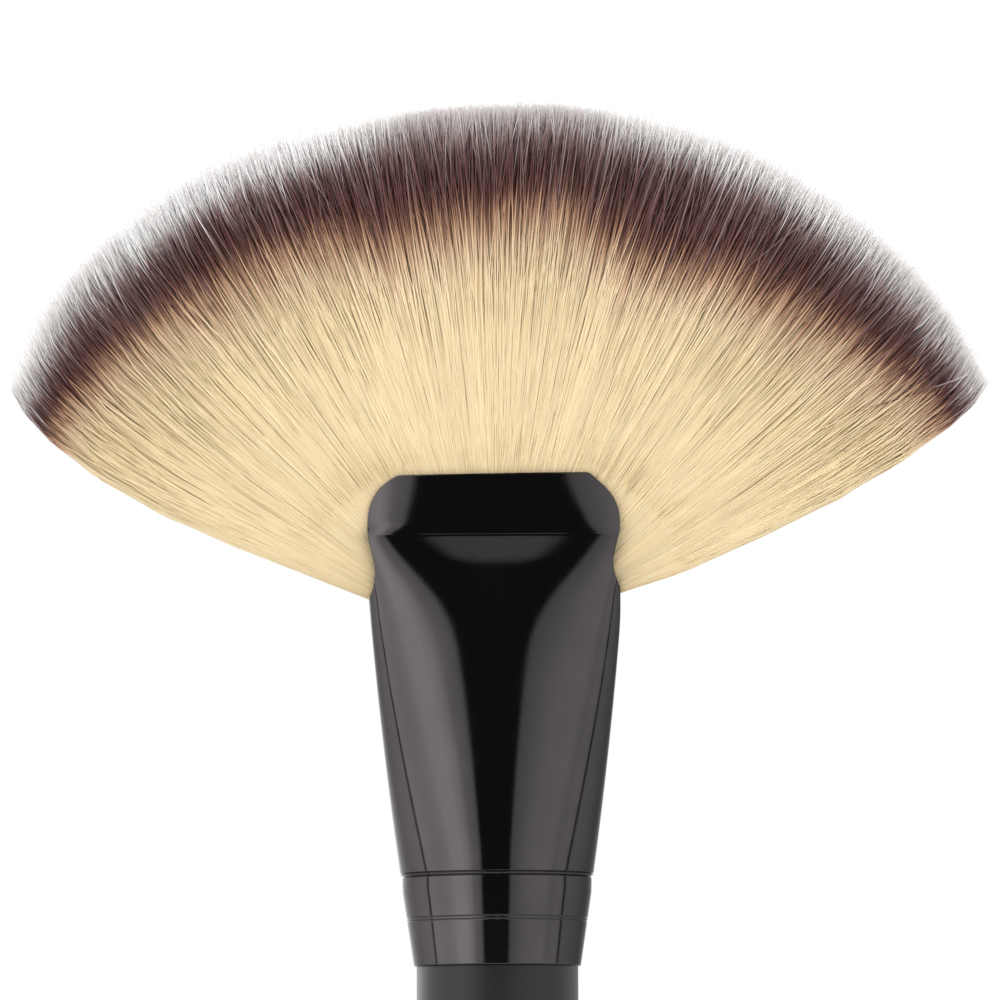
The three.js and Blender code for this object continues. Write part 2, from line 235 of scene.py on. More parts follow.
class Graph:
    """A node tree, with short calls for the nodes that the finishes and the studio use."""

    def __init__(self, tree: Tree) -> None:
        """Takes a tree and empties it."""
        self.tree = tree
        tree.nodes.clear()

    def node(self, kind: str, **settings: object) -> bpy.types.Node:
        """Adds a node.

        Args:
            kind: the node's type.
            settings: values for its properties.

        Returns:
            The node.
        """
        made = self.tree.nodes.new(kind)
        for key, value in settings.items():
            setattr(made, key, value)
        return made

    def link(self, output: Socket, target: Socket) -> None:
        """Joins two sockets."""
        self.tree.links.new(output, target)

    def feed(self, target: Socket, value: float | Socket) -> None:
        """Joins a socket to an input, or sets the input to a number.

        Args:
            target: the input.
            value: the socket or the number.
        """
        if isinstance(value, Socket):
            self.tree.links.new(value, target)
        else:
            target.default_value = value

    def maths(self, operation: str, *inputs: float | Socket) -> Socket:
        """Adds a maths node.

        Args:
            operation: what it does.
            inputs: a number or a socket for each of its inputs.

        Returns:
            Its output.
        """
        made = self.node("ShaderNodeMath", operation=operation)
        for target, value in zip(made.inputs, inputs):
            self.feed(target, value)
        return made.outputs["Value"]

    def ramp(self, value: Socket, low: float, high: float, top: float = 1.0) -> Socket:
        """Adds a smooth ramp.

        Args:
            value: what is placed on the ramp.
            low: where the ramp is 0.
            high: where it reaches its top; it may be less than low.
            top: its height there.

        Returns:
            The ramp's height.
        """
        made = self.node("ShaderNodeMapRange", interpolation_type="SMOOTHSTEP")
        made.inputs["From Min"].default_value = low
        made.inputs["From Max"].default_value = high
        made.inputs["To Max"].default_value = top
        self.feed(made.inputs["Value"], value)
        return made.outputs["Result"]

    def colours(self, place: Socket, stops: Sequence[tuple[float, Colour]]) -> Socket:
        """Adds a colour ramp.

        Args:
            place: where on the ramp the colour is read, from 0 to 1.
            stops: places and their colours, in order.

        Returns:
            The colour.
        """
        made = self.node("ShaderNodeValToRGB")
        for _ in range(len(stops) - 2):
            made.color_ramp.elements.new(0.5)
        for element, (position, colour) in zip(made.color_ramp.elements, stops):
            element.position = position
            element.color = rgba(colour)
        self.feed(made.inputs["Fac"], place)
        return made.outputs["Color"]

    def object_place(self, along: float = 1.0) -> Socket:
        """Adds Object coordinates.

        Args:
            along: scale of Z; less than 1 draws the marks out along the brush.

        Returns:
            The coordinates.
        """
        place = self.node("ShaderNodeTexCoord").outputs["Object"]
        if along == 1.0:
            return place
        stretch = self.node("ShaderNodeMapping")
        stretch.inputs["Scale"].default_value = (1.0, 1.0, along)
        self.link(place, stretch.inputs["Vector"])
        return stretch.outputs["Vector"]

    def noise(self, place: Socket, scale: float | Socket, detail: float = 2.0) -> Socket:
        """Adds a noise texture.

        Args:
            place: coordinates.
            scale: how fine it is.
            detail: how many finer layers it has.

        Returns:
            The noise, from 0 to 1.
        """
        made = self.node("ShaderNodeTexNoise")
        made.inputs["Detail"].default_value = detail
        self.feed(made.inputs["Scale"], scale)
        self.link(place, made.inputs["Vector"])
        return made.outputs["Fac"]


class Shade(Graph):
    """A material's node tree, which starts with a Principled BSDF and its output."""

    def __init__(self, name: str) -> None:
        """Starts the material.

        Args:
            name: name of the material.
        """
        self.material = bpy.data.materials.new(name)
        self.material.use_nodes = True
        super().__init__(self.material.node_tree)
        self.surface = self.node("ShaderNodeBsdfPrincipled")
        self.link(self.surface.outputs["BSDF"], self.node("ShaderNodeOutputMaterial").inputs["Surface"])

    def group(self, tree: Tree, **values: object) -> bpy.types.Node:
        """Adds a node group.

        Args:
            tree: the group.
            values: numbers for its inputs, whose names are spelt with underscores.

        Returns:
            The group's node.
        """
        made = self.node("ShaderNodeGroup", node_tree=tree)
        for key, value in values.items():
            made.inputs[key.replace("_", " ")].default_value = value
        return made

    def plain(self, **values: object) -> None:
        """Sets sockets of the surface itself, named with underscores."""
        for key, value in values.items():
            self.surface.inputs[key.replace("_", " ")].default_value = value

    def bump(self, height: Socket, distance: float, strength: float) -> None:
        """Raises the surface.

        Args:
            height: the height map.
            distance: its full height in metres.
            strength: how much of it is used.
        """
        made = self.node("ShaderNodeBump")
        made.inputs["Distance"].default_value = distance
        made.inputs["Strength"].default_value = strength
        self.link(height, made.inputs["Height"])
        self.link(made.outputs["Normal"], self.surface.inputs["Normal"])


def rgba(colour: Colour) -> tuple[float, float, float, float]:
    """A colour with full alpha."""
    return (*colour, 1.0)


def handled_surface_group() -> Tree:
    """Fine unevenness of a handled surface: cloudy mottling, tiny specks and faint long rubs.

    Returns:
        A group with Mottle, Roughness and Height outputs on Object coordinates.
    """
    tree = bpy.data.node_groups.new("handled_surface", "ShaderNodeTree")
    starts = {"Mottle Scale": 400.0, "Speck Scale": 4000.0, "Low Roughness": 0.2, "High Roughness": 0.4}
    for name, value in starts.items():
        made = tree.interface.new_socket(name=name, in_out="INPUT", socket_type="NodeSocketFloat")
        made.default_value = value
    for name in ("Mottle", "Roughness", "Height"):
        tree.interface.new_socket(name=name, in_out="OUTPUT", socket_type="NodeSocketFloat")
    graph = Graph(tree)
    given, results = graph.node("NodeGroupInput").outputs, graph.node("NodeGroupOutput").inputs
    cloud = graph.noise(graph.object_place(), given["Mottle Scale"], 4.0)
    speck = graph.noise(graph.object_place(), given["Speck Scale"])
    streak = graph.noise(graph.object_place(0.06), given["Speck Scale"], 3.0)
    spread = graph.node("ShaderNodeMapRange")
    spread.inputs["From Min"].default_value = 0.35
    spread.inputs["From Max"].default_value = 0.65
    blend = graph.maths("MULTIPLY_ADD", streak, 0.5, graph.maths("MULTIPLY", cloud, 0.5))
    graph.link(blend, spread.inputs["Value"])
    graph.link(given["Low Roughness"], spread.inputs["To Min"])
    graph.link(given["High Roughness"], spread.inputs["To Max"])
    graph.link(cloud, results["Mottle"])
    graph.link(spread.outputs["Result"], results["Roughness"])
    graph.link(speck, results["Height"])
    return tree


@dataclass(frozen=True)
class CoatedFinish:
    """An even coat over a hard surface, such as lacquer on wood, gloss black on metal or cast resin."""

    name: str
    low: Colour
    high: Colour
    low_roughness: float
    high_roughness: float
    metallic: float
    gloss: float
    edge_tint: Colour
    mottle_scale: float
    speck_scale: float
    bump_mm: float
    bump_strength: float

    def build(self, surface_group: Tree) -> Material:
        """Makes the material.

        Args:
            surface_group: the group made by handled_surface_group.

        Returns:
            The material, its colour and roughness varied by the group.
        """
        shade = Shade(self.name)
        shade.plain(Metallic=self.metallic, Specular_IOR_Level=self.gloss, Specular_Tint=rgba(self.edge_tint))
        uneven = shade.group(
            surface_group,
            Mottle_Scale=self.mottle_scale,
            Speck_Scale=self.speck_scale,
            Low_Roughness=self.low_roughness,
            High_Roughness=self.high_roughness,
        )
        colour = shade.colours(uneven.outputs["Mottle"], [(0.35, self.low), (0.65, self.high)])
        shade.link(colour, shade.surface.inputs["Base Color"])
        shade.link(uneven.outputs["Roughness"], shade.surface.inputs["Roughness"])
        shade.bump(uneven.outputs["Height"], self.bump_mm * MM, self.bump_strength)
        return shade.material


@dataclass(frozen=True)
class FilamentFinish:
    """Dyed filaments: cream, a dark band near the end, and a frosted tip.

    The map's V runs over reach_mm of distance from the filament's tip, from lead_mm before it, which is the
    whitest frost, and its U picks one of a few shades. In the dark band a share of the shades is mixed
    towards a pale pinkish grey: partly paler fibres, partly painted highlights.
    """

    name: str = "dyed_filaments"
    reach_mm: float = 50.0
    lead_mm: float = 2.0
    shades: int = 64
    tint_spread: float = 0.12
    roughness: float = 0.5
    gloss: float = 0.3
    # Pale pinkish grey for a share of the shades in the dark band: partly paler fibres, partly painted
    # highlights.
    frost: Colour = (0.50, 0.36, 0.35)
    pale_and_highlight_share: float = 0.22
    pale_and_highlight_strength: float = 0.3
    pale_and_highlight_ends: float = 10.5
    pale_and_highlight_full: float = 6.0
    bands: tuple[tuple[float, Colour], ...] = (
        (-2.0, (0.97, 0.965, 0.96)),
        (-0.6, (0.87, 0.85, 0.84)),
        (0.0, (0.67, 0.64, 0.63)),
        (0.9, (0.53, 0.47, 0.455)),
        (1.7, (0.38, 0.29, 0.28)),
        (2.6, (0.26, 0.17, 0.165)),
        (3.7, (0.165, 0.090, 0.088)),
        (4.8, (0.118, 0.051, 0.051)),
        (6.3, (0.118, 0.044, 0.040)),
        (7.4, (0.145, 0.060, 0.048)),
        (8.3, (0.25, 0.12, 0.082)),
        (9.4, (0.45, 0.25, 0.155)),
        (10.6, (0.63, 0.41, 0.26)),
        (12.0, (0.76, 0.57, 0.375)),
        (14.2, (0.84, 0.675, 0.435)),
        (17.6, (0.87, 0.71, 0.445)),
        (48.0, (0.86, 0.695, 0.425)),
    )

    def map_height(self, distance: Array | float) -> Array | float:
        """The map's V at a distance from the tip in millimetres."""
        return (distance + self.lead_mm) / self.reach_mm

    def build(self) -> Material:
        """Makes the material.

        Returns:
            The material, coloured along each filament by its map.
        """
        shade = Shade(self.name)
        shade.plain(Roughness=self.roughness, Specular_IOR_Level=self.gloss)
        place = shade.node("ShaderNodeUVMap", uv_map=STRAND_MAP)
        parts = shade.node("ShaderNodeSeparateXYZ")
        shade.link(place.outputs["UV"], parts.inputs["Vector"])
        along = parts.outputs["Y"]
        stops = [(self.map_height(distance), colour) for distance, colour in self.bands]
        dyed = shade.colours(along, stops)
        chance = shade.node("ShaderNodeTexWhiteNoise", noise_dimensions="1D")
        whole = shade.maths("FLOOR", shade.maths("MULTIPLY", parts.outputs["X"], self.shades))
        shade.link(whole, chance.inputs["W"])
        drawn = chance.outputs["Value"]
        # A share of the shades is mixed towards the pale colour near the tip: partly paler fibres, partly
        # painted highlights.
        ends, full = self.map_height(self.pale_and_highlight_ends), self.map_height(self.pale_and_highlight_full)
        near_tip = shade.ramp(along, ends, full, self.pale_and_highlight_strength)
        amount = shade.maths("MULTIPLY", shade.maths("LESS_THAN", drawn, self.pale_and_highlight_share), near_tip)
        pale_and_highlight_mix = shade.node("ShaderNodeMixRGB")
        shade.link(amount, pale_and_highlight_mix.inputs["Fac"])
        shade.link(dyed, pale_and_highlight_mix.inputs["Color1"])
        pale_and_highlight_mix.inputs["Color2"].default_value = rgba(self.frost)
        tint = shade.node("ShaderNodeVectorMath", operation="SCALE")
        shade.link(pale_and_highlight_mix.outputs["Color"], tint.inputs["Vector"])
        strength = shade.maths("MULTIPLY_ADD", drawn, 1.5 * self.tint_spread, 1.0 - self.tint_spread)
        shade.link(strength, tint.inputs["Scale"])
        shade.link(tint.outputs["Vector"], shade.surface.inputs["Base Color"])
        return shade.material


@dataclass(frozen=True)
class ThreadFinish:
    """Twisted cotton thread: pale fibres that wind round the thread, and painted shade in the grooves between
    them.
    """

    name: str = "cotton_thread"
    pale: Colour = (0.82, 0.78, 0.68)
    # Painted shade: the colour of the grooves between the fibres, where the bump is lowest.
    shade_between_fibres: Colour = (0.52, 0.47, 0.38)
    twist_scale: float = 2200.0

    def build(self) -> Material:
        """Makes the material.

        Returns:
            The material, with diagonal fibres in colour and bump.
        """
        shade = Shade(self.name)
        shade.plain(Roughness=0.85, Sheen_Weight=0.3)
        twist = shade.node("ShaderNodeTexWave", wave_type="BANDS", bands_direction="DIAGONAL")
        twist.inputs["Scale"].default_value = self.twist_scale
        twist.inputs["Distortion"].default_value = 2.0
        shade.link(shade.object_place(), twist.inputs["Vector"])
        # Darker where the twist bands and the bump are low: painted shade in the grooves between the fibres.
        colour = shade.colours(twist.outputs["Fac"], [(0.0, self.shade_between_fibres), (1.0, self.pale)])
        shade.link(colour, shade.surface.inputs["Base Color"])
        shade.bump(twist.outputs["Fac"], 0.05 * MM, 0.6)
        return shade.material


class Coat(Enum):
    """The hard finishes of the brush."""

    LACQUER = CoatedFinish(
        name="matt_black_lacquer",
        low=(0.0105, 0.0101, 0.0120),
        high=(0.0135, 0.0130, 0.0152),
        low_roughness=0.36,
        high_roughness=0.44,
        metallic=0.0,
        gloss=0.19,
        edge_tint=(1.0, 1.0, 1.0),
        mottle_scale=260.0,
        speck_scale=2600.0,
        bump_mm=0.03,
        bump_strength=0.25,
    )
    BLACK_METAL = CoatedFinish(
        name="gloss_black_metal",
        low=(0.0430, 0.0396, 0.0404),
        high=(0.0475, 0.0436, 0.0444),
        low_roughness=0.055,
        high_roughness=0.10,
        metallic=1.0,
        gloss=0.5,
        edge_tint=(0.5, 0.5, 0.5),
        mottle_scale=160.0,
        speck_scale=1800.0,
        bump_mm=0.01,
        bump_strength=0.12,
    )
    RESIN = CoatedFinish(
        name="cast_amber_resin",
        low=(0.36, 0.24, 0.07),
        high=(0.62, 0.47, 0.18),
        low_roughness=0.18,
        high_roughness=0.34,
        metallic=0.0,
        gloss=0.5,
        edge_tint=(1.0, 1.0, 1.0),
        mottle_scale=500.0,
        speck_scale=3000.0,
        bump_mm=0.05,
        bump_strength=0.4,
    )


# ---------------------------------------------------------------- ferrule


@dataclass
class Ferrule:
    """The drawn metal tube: round at the handle, pressed flat at the mouth, with two open side notches."""

    low: float = 117.7
    groove_low: float = 121.75
    straight_low: float = 124.4
    groove_high: float = 125.72
    press_start: float = 126.4
    flat_start: float = 144.0
    flare_start: float = 150.0
    notch: float = 150.85
    crease: float = 156.2
    mouth: float = 161.6
    wall: float = 0.5
    end_radius: float = 7.5
    collar_radius: float = 8.5
    press_radius: float = 8.65
    mouth_half_depth: float = 3.2
    steep: float = 2.6
    steep_slope: float = 0.24
    crease_squareness: Pair = (5.0, 4.7)
    plate_squareness: Pair = (2.95, 3.75)
    edge_squareness: float = 2.2
    press_power: Pair = (3.6, 3.0)
    plate_power: Pair = (1.5, 1.6)
    easing_height: Pair = (1.4, 1.2)
    groove_depths: Pair = (0.06, 0.1)
    groove_width: float = 0.055
    groove_spacing: float = 0.28
    ear: Pair = (11.45, 11.2)
    neck: Pair = (10.8, 10.55)
    top_half: Pair = (8.78, 8.5)
    shoulder_out: Pair = (1.95, 1.55)
    shoulder_down: Pair = (0.95, 1.3)
    ear_height: float = 6.3
    notch_rise: float = 0.55
    ear_rise: float = 0.1
    fork: float = 146.0
    crease_share: float = 0.8
    bead_rise: float = 0.026
    bead_width: float = 0.08
    columns: int = 360
    rim_rows: int = 6
    widening: Pair = (3.45, 0.75)
    flare: float = 0.5
    easing: float = 0.35
    column_shares: tuple[float, ...] = (0.0, 0.134, 0.306, 0.588, 1.0)
    column_angles: tuple[float, ...] = (0.0, 26.0, 34.0, 50.0, 90.0)

    def half_width(self, z: Array) -> Array:
        """Half width of the outer face: a parabola above the collar, flared at the mouth.

        Args:
            z: heights.

        Returns:
            Half widths.
        """
        taper = np.interp(z, [self.low, self.straight_low], [self.end_radius, self.collar_radius])
        t = (z - self.groove_high) / (self.flare_start - self.groove_high)
        flare = self.flare * smooth_ramp(z, self.flare_start, self.crease)
        pressed = self.press_radius + self.widening[0] * t - self.widening[1] * t * t + flare
        return np.where(z < self.groove_high, taper, pressed)

    def half_depth(self, z: Array) -> Array:
        """Half depth of the outer face.

        Above the collar it leans in evenly, then a little more steeply over the last steep millimetres
        below the crease, with the change rounded off. The crease has a faint bead, and above it the plate is
        upright.

        Args:
            z: heights.

        Returns:
            Half depths.
        """
        taper = np.interp(z, [self.low, self.straight_low], [self.end_radius, self.collar_radius])
        under = np.maximum(self.crease - z, 0.0)
        whole = self.crease - self.press_start
        extra = self.steep_slope * self.steep
        slope = (self.press_radius - self.mouth_half_depth - extra) / (whole - self.steep)
        eased = self.steep - self.easing * np.logaddexp(0.0, (self.steep - under) / self.easing)
        lean = self.mouth_half_depth + slope * under + (self.steep_slope - slope) * eased
        bead = self.bead_rise * np.exp(-(((z - self.crease) / self.bead_width) ** 2))
        return np.where(z < self.groove_high, taper, np.minimum(lean, self.press_radius) + bead)

    def squareness(self, z: Array, side: Array) -> Array:
        """Exponent of the section: 2 is an ellipse, more is flat-faced.

        It rises as a power of the way up to the crease. Just above the crease it falls off quickly, as a
        square, and then slowly, as a power of the way down from the mouth. The press bit a little deeper
        on the -X side.

        Args:
            z: heights.
            side: 1 on the +X side and -1 on the -X side.

        Returns:
            Exponents.
        """
        round_tube = 2.0
        at_crease = by_side(side, self.crease_squareness)
        on_plate = by_side(side, self.plate_squareness)
        below = np.clip((z - self.flat_start) / (self.crease - self.flat_start), 0.0, 1.0)
        above = np.clip((self.mouth - z) / (self.mouth - self.crease), 0.0, 1.0)
        near = np.clip(1.0 - (z - self.crease) / by_side(side, self.easing_height), 0.0, 1.0)
        pressed = round_tube + (at_crease - round_tube) * below ** by_side(side, self.press_power)
        fall = above ** by_side(side, self.plate_power)
        plate = self.edge_squareness + (on_plate - self.edge_squareness) * fall
        return np.where(z < self.crease, pressed, plate + (at_crease - on_plate) * near**2)

    def groove(self, z: Array) -> Array:
        """Depth of the two pairs of rolled grooves: each groove is a narrow bell round its height.

        Args:
            z: heights.

        Returns:
            Depths.
        """
        depth = np.zeros_like(z, dtype=float)
        for at, deep in zip((self.groove_low, self.groove_high), self.groove_depths):
            for side in (-0.5, 0.5):
                depth += deep * np.exp(-(((z - at - side * self.groove_spacing) / self.groove_width) ** 2))
        return depth

    def surface(self, angle: Array, z: Array, inset: float) -> Array:
        """Points of a face of the wall: the section at each height, moved in by inset and the grooves.

        Args:
            angle: angle round each point's section.
            z: height of each point.
            inset: how far the face lies inside the outer face.

        Returns:
            x, y, z of each point.
        """
        moved = inset + self.groove(z)
        half_x, half_y = self.half_width(z) - moved, self.half_depth(z) - moved
        x, y = superellipse(angle, half_x, half_y, self.squareness(z, np.sign(np.cos(angle))))
        return np.stack([x, y, z], axis=-1)

    def mouth_edge(self, share: Array, right: int) -> tuple[Array, Array]:
        """Half width and height of the cut edge, at shares of its length from the notch to the middle.

        The edge is three Bezier arcs (notch to neck, neck to ear, ear to shoulder) and a straight top. It
        lies a little higher on the +X side, the most at the notch.

        Args:
            share: 0 at the bottom of the notch, 1 at the middle of the top.
            right: 1 for the +X side and 0 for the -X side.

        Returns:
            Half widths and heights.
        """
        ear, neck, corner = self.ear[right], self.neck[right], self.top_half[right]
        notch, top = self.notch, self.mouth
        over, under = self.shoulder_out[right], self.shoulder_down[right]
        side = notch + self.ear_height
        arcs = [
            [(ear + 0.1, notch), (neck + 0.3, notch + 0.7), (neck, notch + 1.55), (neck, notch + 2.65)],
            [(neck, notch + 2.65), (neck, notch + 3.9), (ear, side - 1.6), (ear, side)],
            [(ear, side), (ear, side + 2.3), (corner + over, top - under), (corner, top)],
        ]
        t = np.linspace(0.0, 1.0, 60)[:, None]
        weights = [(1 - t) ** 3, 3 * t * (1 - t) ** 2, 3 * t * t * (1 - t), t**3]
        curves = [sum(w * np.array(p) for w, p in zip(weights, arc)) for arc in arcs]
        line = np.vstack([*curves, [[0.0, top]]])
        steps = np.hypot(*np.diff(line, axis=0).T)
        length = np.concatenate([[0.0], np.cumsum(steps)]) / steps.sum()
        half, height = np.interp(share, length, line[:, 0]), np.interp(share, length, line[:, 1])
        rise = self.notch_rise + (self.ear_rise - self.notch_rise) * smooth_ramp(height, notch + 2.0, side)
        return half, height + (2 * right - 1) * rise * np.clip(half / corner, 0.0, 1.0)

    def columns_at_mouth(self) -> tuple[Array, Array, Array, Array]:
        """Where each column of the surface starts at the fork and where it meets the cut edge.

        Returns:
            For every column its quarter of the turn, its angle at the fork within the quarter, and the
            share of the half width and the height at which it meets the edge.
        """
        turn = 4.0 * np.arange(self.columns) / self.columns
        quarter = np.floor(turn)
        share = np.where(quarter % 2 == 1, 1.0 - (turn - quarter), turn - quarter)
        left, right = self.mouth_edge(share, 0), self.mouth_edge(share, 1)
        half, height = np.where(self.side_of(quarter) < 0.0, left, right)
        start = np.radians(np.interp(share, self.column_shares, self.column_angles))
        reach = np.minimum(half / self.half_width(height), 1.0 - 0.01 * share)
        return quarter, start, reach, height

    @staticmethod
    def side_of(quarter: Array) -> Array:
        """1 for quarters on the +X side and -1 for those on the -X side."""
        return np.where((quarter == 0) | (quarter == 3), 1.0, -1.0)

    @staticmethod
    def around(angle: Array, quarter: Array) -> Array:
        """Takes an angle within a quarter, measured from the X axis, to its place in the whole turn."""
        return np.choose(quarter.astype(int), [angle, np.pi - angle, np.pi + angle, 2.0 * np.pi - angle])

    def face(self, heights: Array, rise: Array, inset: float) -> Array:
        """Rows of one face of the wall, from the handle's end to the cut edge.

        Below the fork a row is level. Above it each column runs on to its own place on the edge: its
        height evenly to the crease and evenly on from it, and its share of the half width as the cube of
        the way.

        Args:
            heights: heights of the level rows.
            rise: shares of the way from the fork to the edge for the other rows.
            inset: how far the face lies inside the outer face.

        Returns:
            Rows of points.
        """
        quarter, start, reach, top = self.columns_at_mouth()
        side = self.side_of(quarter)
        level = self.surface(*np.broadcast_arrays(self.around(start, quarter), heights[:, None]), inset)
        crease = np.minimum(self.crease, self.fork + (top - self.fork) * self.crease_share)
        below = np.clip(rise[:, None] / self.crease_share, 0.0, 1.0)
        above = np.clip((rise[:, None] - self.crease_share) / (1.0 - self.crease_share), 0.0, 1.0)
        z = self.fork + (crease - self.fork) * below + (top - crease) * above
        first = np.cos(start) ** (2.0 / self.squareness(self.fork, side))
        share = first + (reach - first) * ((z - self.fork) / (top - self.fork)) ** 3
        angle = np.arccos(share ** (self.squareness(z, side) / 2.0))
        return np.concatenate([level, self.surface(self.around(angle, quarter), z, inset)])

    def rounded_edge(self, outer: Array, inner: Array, below: Array) -> Array:
        """Rows of a half-round edge between the last row of the outer face and that of the inner one.

        Args:
            outer: last row of the outer face.
            inner: matching row of the inner face.
            below: the row before the last of the outer face, which shows which way the wall runs.

        Returns:
            Rows of points, from the outer face to the inner one.
        """
        middle, half = (outer + inner) / 2.0, (outer - inner) / 2.0
        along = np.roll(outer, -1, axis=0) - np.roll(outer, 1, axis=0)
        onward = np.cross(along, half)
        onward *= np.where(np.sum(onward * (outer - below), axis=-1, keepdims=True) < 0.0, -1.0, 1.0)
        reach = 0.5 * np.linalg.norm(half, axis=-1, keepdims=True)
        onward *= reach / np.linalg.norm(onward, axis=-1, keepdims=True)
        turn = np.linspace(0.0, np.pi, self.rim_rows + 2)[1:-1, None, None]
        return middle + half * np.cos(turn) + onward * np.sin(turn)

    def build(self) -> Object:
        """Makes the ferrule as one closed wall.

        Returns:
            The object.
        """
        fine = [at + np.linspace(-0.35, 0.35, 36) for at in (self.groove_low, self.groove_high)]
        fine.append(self.low + np.array([0.02, 0.06, 0.15]))
        coarse = np.linspace(self.low, self.fork, 40)
        heights = np.unique(np.round(np.concatenate([coarse, *fine]), 3))[:-1]
        near = np.concatenate([np.linspace(-0.012, 0.0, 11), np.linspace(0.0, 0.007, 11)])
        at_crease = self.crease_share + near
        at_edge = 1.0 - np.array([0.001, 0.004])
        rise = np.unique(np.round(np.concatenate([np.linspace(0.0, 1.0, 81), at_crease, at_edge]), 5))
        outer = self.face(heights, rise, 0.0)
        inner = self.face(coarse[:-1:2], np.linspace(0.0, 1.0, 16), self.wall)
        mouth = self.rounded_edge(outer[-1], inner[-1], outer[-2])
        foot = self.rounded_edge(inner[0], outer[0], inner[1])
        rows = np.concatenate([outer, mouth, inner[::-1], foot])
        quads = grid_quads(len(rows), self.columns, wrap_rows=True)
        return make_mesh("ferrule_shell", rows.reshape(-1, 3), [quads])


# ---------------------------------------------------------------- handle and the pieces inside


@dataclass
class Handle:
    """The turned handle with its tenon."""

    radius: float = 7.24
    swell: float = 7.75
    swell_height: float = 88.0
    end_radius: float = 4.4
    end_edge: float = 1.4
    straight: float = 6.0
    gap: float = 0.04
    tenon_radius: float = 6.7
    tenon_edge: float = 0.6
    tenon_ease: float = 0.05
    tenon_ring: float = 2.0
    flat_ring: float = 1.2
    lip: float = 0.12
    sides: int = 128

    def profile(self, shoulder: float, top: float) -> Array:
        """Outline of the handle: flat end, quarter-round edge, sine swell, eased neck, shoulder, tenon.

        Args:
            shoulder: height of the shoulder under the ferrule.
            top: height of the tenon's end.

        Returns:
            Lines of radius, height.
        """
        turn = np.linspace(0.0, np.pi / 2.0, 14)
        flat = np.array([[self.end_radius - self.end_edge - self.flat_ring, 0.0]])
        edge = outline(
            self.end_radius - self.end_edge * (1.0 - np.sin(turn)), self.end_edge * (1.0 - np.cos(turn))
        )
        t = np.linspace(0.0, 1.0, 70)[1:]
        grow = self.end_radius + (self.swell - self.end_radius) * np.sin(np.pi / 2.0 * t)
        long = outline(grow, self.end_edge + (self.swell_height - self.end_edge) * t)
        ease = (1.0 - np.cos(np.pi * t)) / 2.0
        rise = shoulder - self.straight - self.swell_height
        neck = outline(self.swell + (self.radius - self.swell) * ease, self.swell_height + rise * t)
        drop = np.linspace(0.0, np.pi / 2.0, 7)
        in_by, down_by = self.lip * (1.0 - np.cos(drop)), self.lip * (1.0 - np.sin(drop))
        lip = outline(self.radius - in_by, shoulder - down_by)
        tenon = [
            (self.tenon_radius + self.tenon_ease, shoulder),
            (self.tenon_radius, shoulder + self.tenon_ease),
            (self.tenon_radius, top - self.tenon_edge),
            (self.tenon_radius - self.tenon_edge, top),
            (self.tenon_ring, top),
        ]
        return np.vstack([flat, edge, long, neck, lip, tenon])

    def build(self, ferrule_low: float) -> Object:
        """Makes the handle up to the ferrule's end.

        Args:
            ferrule_low: height of the ferrule's lower end.

        Returns:
            The object.
        """
        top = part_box("handle")[1].z / MM
        return turned("handle_stick", self.profile(ferrule_low - self.gap, top), self.sides)


@dataclass
class BindingThread:
    """The thread wound round the roots: one long helix on a rounded section."""

    half_width: float = 7.6
    half_depth: float = 3.35
    low: float = 139.4
    turns: int = 6
    diameter: float = 0.46
    clearance: float = 0.3
    squareness: float = 2.4
    spacing: float = 1.08
    steps_per_turn: int = 96
    sides: int = 10

    def build(self) -> Object:
        """Makes the thread: a round section carried along the helix, closed at both ends.

        Returns:
            The object.
        """
        steps = self.turns * self.steps_per_turn
        t = np.linspace(0.0, 1.0, steps + 1)[:, None]
        angle = 2.0 * np.pi * self.turns * t
        radius = self.diameter / 2.0
        out = self.clearance + radius
        section = np.full_like(t, self.squareness)
        x, y = superellipse(angle, self.half_width + out, self.half_depth + out, section)
        z = self.low + radius + (self.turns - 1) * self.diameter * t * self.spacing
        centre = np.concatenate([x, y, z], axis=-1)
        along = np.gradient(centre, axis=0)
        along /= np.linalg.norm(along, axis=-1, keepdims=True)
        upward = np.array([0.0, 0.0, 1.0]) - along * along[:, 2:3]
        upward /= np.linalg.norm(upward, axis=-1, keepdims=True)
        sideways = np.cross(upward, along)
        turn = (2.0 * np.pi * np.arange(self.sides) / self.sides)[None, :, None]
        ring = sideways[:, None] * np.cos(turn) + upward[:, None] * np.sin(turn)
        rows = centre[:, None] + radius * ring
        return closed_tube("binding_thread_winding", rows, centre[[0, -1]], flipped=True)


# ---------------------------------------------------------------- filaments


